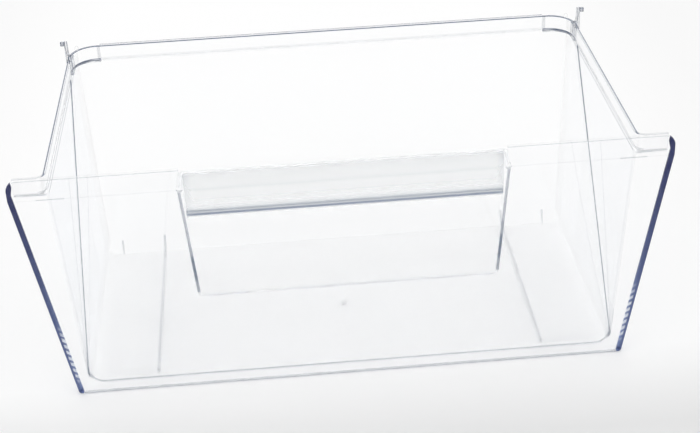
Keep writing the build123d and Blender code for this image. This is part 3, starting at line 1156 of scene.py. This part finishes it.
@dataclass
class FrontPanel:
    """The thick front panel: leaning below its crease, with the handle's opening. The edge is
    the radius round its front face and the chamfer behind, except for the sides' bevel."""

    sizes: DrawerSizes
    shoulder_radius: float = 8.0
    foot_radius: float = 3.0
    edge: float = 0.4
    bevel: float = 3.2
    soft: float = 1.0

    def outlines(self) -> tuple[np.ndarray, np.ndarray, np.ndarray]:
        """Outer and opening outlines of the right half, both from the notch's top corner to
        the middle of the foot, with as many points each.

        Returns:
            The outer line, the opening's line, and the bevel's width at each outer point.
        """
        sizes = self.sizes
        rim, crease, half, notch_half = sizes.rim, sizes.crease, sizes.panel_half, sizes.notch_half
        radius, foot, notch = self.shoulder_radius, self.foot_radius, crease + sizes.wall
        soft = crease + self.soft * np.array([1.0, 0.5, 0.0, -0.5, -1.0])
        drop = crease - np.minimum(soft, crease)
        side, cheek = half - drop * sizes.spread, sizes.opening_half - drop * sizes.opening_spread
        round_foot, round_half = sizes.opening_radius, sizes.opening_foot_half
        low = sizes.opening_foot + round_foot
        tilt, bend = (math.degrees(math.atan(s)) for s in (sizes.spread, sizes.opening_spread))
        mid = (sizes.panel_foot_half + low * sizes.spread, low)
        foot_half = sizes.panel_foot_half + foot * sizes.spread
        inner_low = round_half + round_foot * sizes.opening_spread
        outer = [
            between((notch_half, rim), (half - radius, rim), 12),
            arc((half - radius, rim - radius), radius, 90.0, 0.0, 8)[1:],
            between((half, rim - radius), (half, notch), 1)[1:],
            np.stack([side, soft], axis=-1),
            between((side[-1], soft[-1]), mid, 8)[1:],
            between(mid, (foot_half, foot), 6)[1:],
            arc((foot_half - foot, foot), foot, -tilt, -90.0, 4)[1:],
            between((foot_half - foot, 0.0), (0.0, 0.0), 10)[1:],
        ]
        count = sum(map(len, outer[:3]))
        corner = (inner_low - round_foot, low)
        opening = [
            between((notch_half, rim), (notch_half, notch), count - 2),
            [[sizes.opening_half, notch]],
            np.stack([cheek, soft], axis=-1),
            between((cheek[-1], soft[-1]), (inner_low, low), 8)[1:],
            arc(corner, round_foot, -bend, -90.0, 10)[1:],
            between((corner[0], sizes.opening_foot), (0.0, sizes.opening_foot), 10)[1:],
        ]
        line = np.concatenate(outer)
        heights, widths = [0.0, foot, rim - radius, rim], [self.edge, self.bevel, self.bevel, self.edge]
        return line, np.concatenate(opening), np.interp(line[:, 1], heights, widths)

    def skin(self) -> Skin:
        """Front, back and rounded border of the panel. A border point is the outline's plus
        its inset times the mitred normal, and its depth is added to Y: a quarter circle at
        the front edge and a slanting bevel behind.

        Returns:
            The closed skin.
        """
        outer, opening, width = self.outlines()
        count, thick = len(outer), self.sizes.panel
        border = np.concatenate([opening[::-1], outer[1:]])
        bevel = np.concatenate([np.full(count - 1, self.edge), width])
        turn = quarter(4)[::-1, None] + 0 * bevel
        inset = np.concatenate([self.edge * (1 - np.cos(turn)), [0 * bevel, bevel]])
        depth = np.concatenate([self.edge * (1 - np.sin(turn)), [thick - bevel, 0 * bevel + thick]])
        flat = border[None] - mitres(border, False)[None] * inset[..., None]

        def lay(plan: np.ndarray, back: np.ndarray | float) -> np.ndarray:
            """Lays (x, z) points on the leaning face, at a depth behind it."""
            face = self.sizes.face(plan[..., 1], self.soft) + back
            return np.stack([plan[..., 0], face, plan[..., 1]], axis=-1)

        skin = Skin()
        skin.grid(lay(flat, depth))
        share = np.linspace(0.0, 1.0, 7)[:, None, None]
        for ring, back in ((flat[0], 0.0), (flat[-1], thick)):
            inner_line, outer_line = ring[count - 1 :: -1], ring[count - 1 :]
            skin.grid(lay(inner_line[None] * (1 - share) + outer_line[None] * share, back))
        skin.mirror()
        return skin

    def build(self) -> bpy.types.Object:
        """Builds the panel, standing for its CAD node."""
        return settle(self.skin().build("clear_front_panel", self.weigh), "front_panel")

    def weigh(self, centre: np.ndarray, normal: np.ndarray) -> np.ndarray:
        """Strength of painted shade lines along the panel's tight edges: strongest at the foot, and
        along the crease, with a darker painted dash near each side.

        Args:
            centre: Centres of the faces.
            normal: Normals of the faces.

        Returns:
            The weight of each face.
        """
        sizes, up, across = self.sizes, centre[:, 2], np.abs(centre[:, 0])
        opening = (across < sizes.opening_half + 1.0) & (up > sizes.opening_foot - 1.0)
        front = (normal[:, 1] < -0.7) & (across < sizes.panel_half - self.bevel)
        crease_shade, dash = front & (np.abs(up - sizes.crease) < 0.5), np.abs(across - 208.5) < 5.0
        rules = [
            (up < 0.01, 1.3),
            (up < self.foot_radius, 0.8),
            (opening & ~front, 0.04),
            (crease_shade & dash, 1.3),
            (crease_shade, 1.05),
            (up > sizes.rim - 1.0, 0.3),
        ]
        return np.select([rule for rule, _ in rules], [weight for _, weight in rules], 0.0)


@dataclass
class HandlePocket:
    """The scoop behind the panel's opening, with its side walls and the upstand on top. It is
    given by its inside: the deepest face's Y, the knee where the slanting back turns upright,
    the roof's height, and the radius of both bends."""

    sizes: DrawerSizes
    deep: float = -99.0
    knee: float = 160.0
    brow: float = 190.0
    radius: float = 14.0

    def chains(self) -> tuple[np.ndarray, np.ndarray, np.ndarray]:
        """Inside and outside of the scoop in the YZ plane: a slant, an arc, an upright, an
        arc, the roof and the upstand. The outside is the inside plus the wall's thickness
        times the inside's normal.

        Returns:
            Inside points, outside points, and the height of each row's front edge.
        """
        sizes, wall, crease = self.sizes, self.sizes.wall, self.sizes.crease
        foot, top = sizes.opening_foot, sizes.lip_top
        start = np.array([float(sizes.face(foot)), foot])
        slant = np.array([self.deep, self.knee]) - start
        slant /= np.linalg.norm(slant)
        tilt = math.degrees(math.atan2(slant[0], slant[1]))
        reach = self.radius * math.tan(math.radians(tilt / 2))
        knee_end = np.array([self.deep, self.knee]) - slant * reach
        low = foot + sizes.opening_radius * np.array([0.0, 0.05, 0.2, 0.5, 1.0])
        slanting = start + slant * ((low - foot) / slant[1])[:, None]
        slanting = np.concatenate([slanting, between(slanting[-1], knee_end, 6)[1:]])
        knee = arc((self.deep - self.radius, self.knee + reach), self.radius, -tilt, 0.0, 4)[1:]
        spring = self.brow - self.radius
        marks = np.array([crease - wall, crease, crease + wall, crease + wall])
        turns = np.concatenate([quarter(10), np.arcsin((marks - spring) / self.radius)])
        turns = np.sort(turns)
        way = np.stack([np.cos(turns), np.sin(turns)], axis=-1)
        brow = np.array([self.deep - self.radius, spring]) + self.radius * way
        front = sizes.front + sizes.lip
        inside = np.concatenate([slanting, knee, brow, [[front, self.brow], [front, top]]])
        knee_way = arc((0.0, 0.0), 1.0, -tilt, 0.0, 4)[1:]
        slant_way = np.broadcast_to([slant[1], -slant[0]], slanting.shape)
        outside = inside[:-2] + wall * np.concatenate([slant_way, knee_way, way])
        short = np.maximum(foot - outside[:, 1], 0.0)
        outside = outside + slant * (short / slant[1])[:, None]
        back = front + wall
        outside = np.concatenate([outside, [[back, self.brow + wall], [back, top]]])
        return inside, outside, np.concatenate([inside[:-2, 1], [self.brow + 0.6, top]])

    def skin(self) -> Skin:
        """Closed loops round the scoop, one for each row of the chains: out along the front
        edges, in along the side walls and across inside and outside.

        Returns:
            The closed skin.
        """
        inside, outside, edges = self.chains()
        sizes, wall, crease = self.sizes, self.sizes.wall, self.sizes.crease
        corner, notch = sizes.opening_radius, sizes.notch_half
        half = sizes.opening_half - np.maximum(crease - edges, 0.0) * sizes.opening_spread
        above = np.maximum(corner - (edges - sizes.opening_foot), 0.0)
        half -= corner - np.sqrt(corner**2 - above**2)
        inner = np.interp(edges, [crease - wall, crease], [0.0, 1.0])
        inner = half - wall + inner * (notch - sizes.opening_half)
        step = np.flatnonzero(np.isclose(edges, crease + wall))[-1]
        half[step:], inner[step:] = notch, notch - wall
        half = half - sizes.gap
        face = sizes.face(edges, 1.0)
        middle = np.minimum(face + sizes.lip, inside[:, 0])
        lift = np.where(edges > self.brow, np.minimum(edges, inside[:, 1]), edges)
        share = np.linspace(-1.0, 1.0, 13)

        def line(across: np.ndarray, along: np.ndarray, up: np.ndarray) -> np.ndarray:
            """Stacks one column of the loops."""
            return np.stack([across, along, up], axis=-1)[:, None]

        def span(width: np.ndarray, chain: np.ndarray, way: float) -> np.ndarray:
            """Columns straight across between the two side walls."""
            columns = (way * share * width[:, None], chain[:, :1], chain[:, 1:])
            return np.stack(np.broadcast_arrays(*columns), axis=-1)

        columns = [
            line(-half, face, edges),
            line(-inner, face, edges),
            line(-inner, middle, lift),
            span(inner, inside, 1.0),
            line(inner, middle, lift),
            line(inner, face, edges),
            line(half, face, edges),
            span(half, outside, -1.0),
        ]
        loops = np.concatenate(columns, axis=1)
        skin = Skin()
        skin.grid(loops, loop=True)
        skin.cap(loops[0])
        skin.cap(loops[-1])
        return skin

    def build(self) -> bpy.types.Object:
        """Builds the pocket, standing for its CAD node."""
        piece = self.skin().build("clear_handle_pocket", self.weigh)
        return settle(piece, "handle_pocket")

    def weigh(self, centre: np.ndarray, normal: np.ndarray) -> np.ndarray:
        """Strength of painted shade lines on the pocket: along the front ends of its side walls,
        darkest in their lower third.

        Args:
            centre: Centres of the faces.
            normal: Normals of the faces.

        Returns:
            The weight of each face.
        """
        sizes, up = self.sizes, centre[:, 2]
        half = sizes.opening_half - np.maximum(sizes.crease - up, 0.0) * sizes.opening_spread
        front = (np.abs(centre[:, 0]) > half - sizes.wall - 0.1) & (normal[:, 1] < -0.7)
        heights = [86, 91, 95, 98, 128, 136, 158, 164, 190]
        weight = np.interp(up, heights, [0.05, 0.05, 1.0, 1.9, 1.85, 1.03, 1.03, 1.3, 1.25])
        return np.where(front, weight, 0.04)


@dataclass
class Grip:
    """The frosted lip over the pocket, with a bead of a radius along its lower edge."""

    sizes: DrawerSizes
    half: float = 117.0
    bead: float = 2.6
    edge: float = 0.7
    soft: float = 1.5

    def section(self) -> np.ndarray:
        """Side outline: up the back, over the top, down the front and round the bead, which
        meets the back where the cosine of its angle is what the thickness leaves.

        Returns:
            Closed line of (y, z) points, anticlockwise.
        """
        sizes, edge, bead = self.sizes, self.edge, self.bead
        crease, foot, shrink = sizes.crease, sizes.lip_bead, sizes.lip_top - edge
        rise = np.concatenate(
            [
                np.linspace(foot + bead, crease - self.soft, 4),
                crease + self.soft * np.array([-0.5, 0.0, 0.5]),
                np.linspace(crease + self.soft, shrink, 3),
            ]
        )
        front, back = sizes.face(rise, self.soft), sizes.lip - sizes.gap
        centre = (float(sizes.face(foot)) + bead, foot)
        meet = 360.0 + math.degrees(math.acos((sizes.lip - bead) / bead - sizes.slope))
        return np.concatenate(
            [
                np.stack([front + back, rise], axis=-1),
                arc((sizes.front + back - edge, shrink), edge, 0.0, 90.0, 4)[1:],
                arc((sizes.front + edge, shrink), edge, 90.0, 180.0, 4)[:-1],
                np.stack([front, rise], axis=-1)[::-1],
                arc(centre, bead, 180.0, meet, 20),
            ]
        )

    def build(self) -> bpy.types.Object:
        """Builds the grip, standing for its CAD node."""
        skin = bar(self.section(), self.half, self.edge, 8)
        return settle(skin.build("frosted_grip", even(0.0)), "handle_grip")


@dataclass
class RearStop:
    """A fin on the rear end of a side rim, with a hooked head that reaches outwards and a
    root inside the band. The front is the Y of its straight edge."""

    sizes: DrawerSizes
    front: float = 84.0
    length: float = 14.0
    rise: float = 19.0
    thickness: float = 2.4
    root: float = 11.0
    reach: float = 3.2
    head: float = 3.4
    edge: float = 0.3
    # Strength of the painted shade lines along the stop's edges
    line: float = 1.07

    def block(self, low: Point, high: Point, edge: float) -> np.ndarray:
        """Rectangle in the YZ plane with rounded corners, anticlockwise.

        Args:
            low: Its least Y and Z.
            high: Its greatest Y and Z.
            edge: Radius of the corners.

        Returns:
            Closed line of points.
        """
        front, back, foot, top = low[0] + edge, high[0] - edge, low[1] + edge, high[1] - edge
        corners = ((front, foot, 180), (back, foot, 270), (back, top, 0), (front, top, 90))
        return np.concatenate([arc((y, z), edge, angle, angle + 90, 4) for y, z, angle in corners])

    def skin(self) -> Skin:
        """The fin's hollow edge is a parabola from the tip to the heel.

        Returns:
            The skin of the right stop.
        """
        sizes, front, edge = self.sizes, self.front, self.edge
        rim, wall, gap, outer = sizes.rim, sizes.wall, sizes.gap, sizes.rim_half
        back, top = front + self.length, rim + self.rise
        tip, heel = np.array([front + self.head, top]), np.array([back, rim + wall])
        middle = np.array([front + self.length / 2, rim + self.rise / 3])
        share = np.linspace(0.0, 1.0, 13)[:, None]
        bow = 4 * share * (1 - share) * (middle - (tip + heel) / 2)
        hollow = heel * (1 - share) + tip * share + bow
        fin = np.concatenate([[[front, rim + gap], [back, rim + gap]], hollow, [[front, top]]])
        root = self.block((front, rim - self.root), (back, rim + wall), wall / 2)
        head = self.block((front, top - self.head), (front + self.head, top), self.head / 4)
        skin = Skin()
        skin.join(bar(fin, self.thickness / 2, edge, 1), outer - self.thickness / 2)
        skin.join(bar(root, wall / 2 - gap, edge, 1), outer - 1.5 * wall - 2 * gap)
        skin.join(bar(head, self.reach / 2, edge, 1), outer + self.reach / 2)
        return skin

    def build(self, side: int, name: str) -> bpy.types.Object:
        """Builds one stop.

        Args:
            side: 1 for the right stop, -1 for the left.
            name: The CAD node's name, which names the piece too.

        Returns:
            The stop, standing for its CAD node.
        """
        skin = self.skin()
        skin.points = [points * np.array([side, 1.0, 1.0]) for points in skin.points]
        return settle(skin.build("clear_" + name, even(self.line)), name)


@dataclass
class StudioCamera:
    """The camera at the photograph's place and angle: degrees that it looks down, is turned
    to the drawer's right and is rolled, and its focal length in pixels of a frame's width."""

    eye: tuple[float, float, float] = (-50.9, -1049.9, 684.2)
    pitch: float = 29.832
    yaw: float = 3.298
    roll: float = -2.564
    focal_pixels: float = 1450.0
    frame_pixels: float = 700.0
    sensor: float = 36.0

    def place(self) -> None:
        """Makes the scene's camera."""
        pitch, yaw, roll = (math.radians(angle) for angle in (self.pitch, self.yaw, self.roll))
        flat = math.cos(pitch)
        forward = Vector((math.sin(yaw) * flat, math.cos(yaw) * flat, -math.sin(pitch)))
        level = forward.cross(Vector((0.0, 0.0, 1.0))).normalized()
        upright = level.cross(forward)
        right = math.cos(roll) * level + math.sin(roll) * upright
        up = math.cos(roll) * upright - math.sin(roll) * level
        data = bpy.data.cameras.new("camera")
        data.sensor_width = self.sensor
        data.lens = self.focal_pixels * self.sensor / self.frame_pixels
        camera = stand("camera", data)
        turn = Matrix((right, up, -forward)).transposed().to_4x4()
        camera.matrix_world = Matrix.Translation(Vector(self.eye) * MM) @ turn
        bpy.context.scene.camera = camera


@dataclass
class Studio:
    """Pale floor and soft light round the drawer. The floor has painted shade, a little darker
    towards the camera and far out to the sides; its sizes are metres. A pair of numbers for a
    place of painted shade is where it starts and how far on it is full."""

    floor_half: float = 3.0
    floor_drop: float = 0.0001
    floor_colour: Colour = (0.97, 0.97, 0.97)
    shade_colour: Colour = (0.76, 0.76, 0.76)
    front_shade: Point = (-0.10, -0.10)
    side_shade: Point = (0.22, 0.2)
    side_shade_share: float = 0.3
    glow: float = 0.03
    # Places and levels of the light dome, from the horizon up
    dome: tuple[Point, ...] = ((0.0, 0.88), (0.12, 0.92), (0.35, 1.0), (1.0, 1.08))
    # How much darker the dome is low down on the camera's side, and where: along Y and Z
    dome_dark: float = 0.75
    dome_near: Point = (-0.35, -0.3)
    dome_low: Point = (0.25, 0.3)
    bounces: int = 24
    straight_bounces: int = 48

    def build(self) -> None:
        """Builds the floor and the light: the floor is a square grid of 8 by 8 faces."""
        side = np.linspace(-self.floor_half, self.floor_half, 9)
        right, back = np.meshgrid(side, side, indexing="ij")
        points = np.stack([right, back, np.full_like(right, -self.floor_drop)], axis=-1)
        count = len(side)
        corner = (np.arange(count - 1)[:, None] * count + np.arange(count - 1)).ravel()
        faces = np.stack([corner, corner + count, corner + count + 1, corner + 1], axis=-1)
        mesh = bpy.data.meshes.new("floor")
        mesh.from_pydata(points.reshape(-1, 3).tolist(), [], faces.tolist())
        mesh.materials.append(self.floor_material())
        floor = stand("floor", mesh)
        self.light()

    def floor_material(self) -> bpy.types.Material:
        """Writes the floor's material.

        Returns:
            The material.
        """
        material, shader = new_shader("pale_floor")
        spot = shader.node("ShaderNodeTexCoord", {}, out=3)
        across, along, _ = shader.split(spot)
        # Painted shade on the floor: darker towards the camera, with noise, and far out to the sides
        front = along.ramp(*self.front_shade) - 0.1 * shader.noise(spot, 2.0)
        front = front + abs(across).ramp(*self.side_shade) * self.side_shade_share
        tone = shader.blend(front.clamp(), self.floor_colour, self.shade_colour)
        light = {"Emission_Color": WHITE, "Emission_Strength": self.glow}
        body = shader.node("ShaderNodeBsdfPrincipled", {}, Base_Color=tone, Roughness=0.9, **light)
        shader.add("ShaderNodeOutputMaterial", {}, Surface=body)
        return material

    def light(self) -> None:
        """Lights the scene with a dome that is white above and darker near the horizon."""
        scene, world = bpy.context.scene, bpy.data.worlds.new("studio")
        scene.world, world.use_nodes = world, True
        shader = Shader(world.node_tree)
        _, along, height = shader.split(shader.node("ShaderNodeTexCoord", {}))
        ramp = shader.node("ShaderNodeValToRGB", {}, height)
        elements = ramp.socket.node.color_ramp.elements
        elements.remove(elements[-1])
        for index, (place, level) in enumerate(self.dome):
            element = elements[0] if index == 0 else elements.new(place)
            element.position, element.color = place, (level, level, level, 1.0)
        dark = along.ramp(*self.dome_near) * (1.0 - height.ramp(*self.dome_low))
        level = ramp * (1.0 - dark * self.dome_dark)
        back = shader.node("ShaderNodeBackground", {}, Color=WHITE, Strength=level)
        shader.add("ShaderNodeOutputWorld", {}, Surface=back)
        scene.view_settings.view_transform = "Standard"
        scene.cycles.max_bounces = scene.cycles.transmission_bounces = self.bounces
        scene.cycles.transparent_max_bounces = self.straight_bounces
        scene.cycles.glossy_bounces, scene.cycles.diffuse_bounces = 12, 4


def main() -> None:
    """Loads the frame, dresses the drawer and lights it."""
    logging.basicConfig(level=logging.INFO, format="%(name)s: %(message)s")
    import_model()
    StudioCamera().place()
    Studio().build()
    sizes = DrawerSizes()
    shell = ClearPlastic("clear_shell_plastic", sizes).material()
    panel = PanelPlastic("clear_panel_plastic", sizes).material()
    frosted = FrostedPlastic("frosted_plastic", sizes).material()
    stop = RearStop(sizes)
    dressed = [
        (Bin(sizes).build(), shell),
        (FrontPanel(sizes).build(), panel),
        (HandlePocket(sizes).build(), shell),
        (Grip(sizes).build(), frosted),
        (stop.build(-1, "rear_stop_left"), shell),
        (stop.build(1, "rear_stop_right"), shell),
    ]
    for piece, material in dressed:
        piece.data.materials.append(material)


if __name__ == "__main__":
    main()
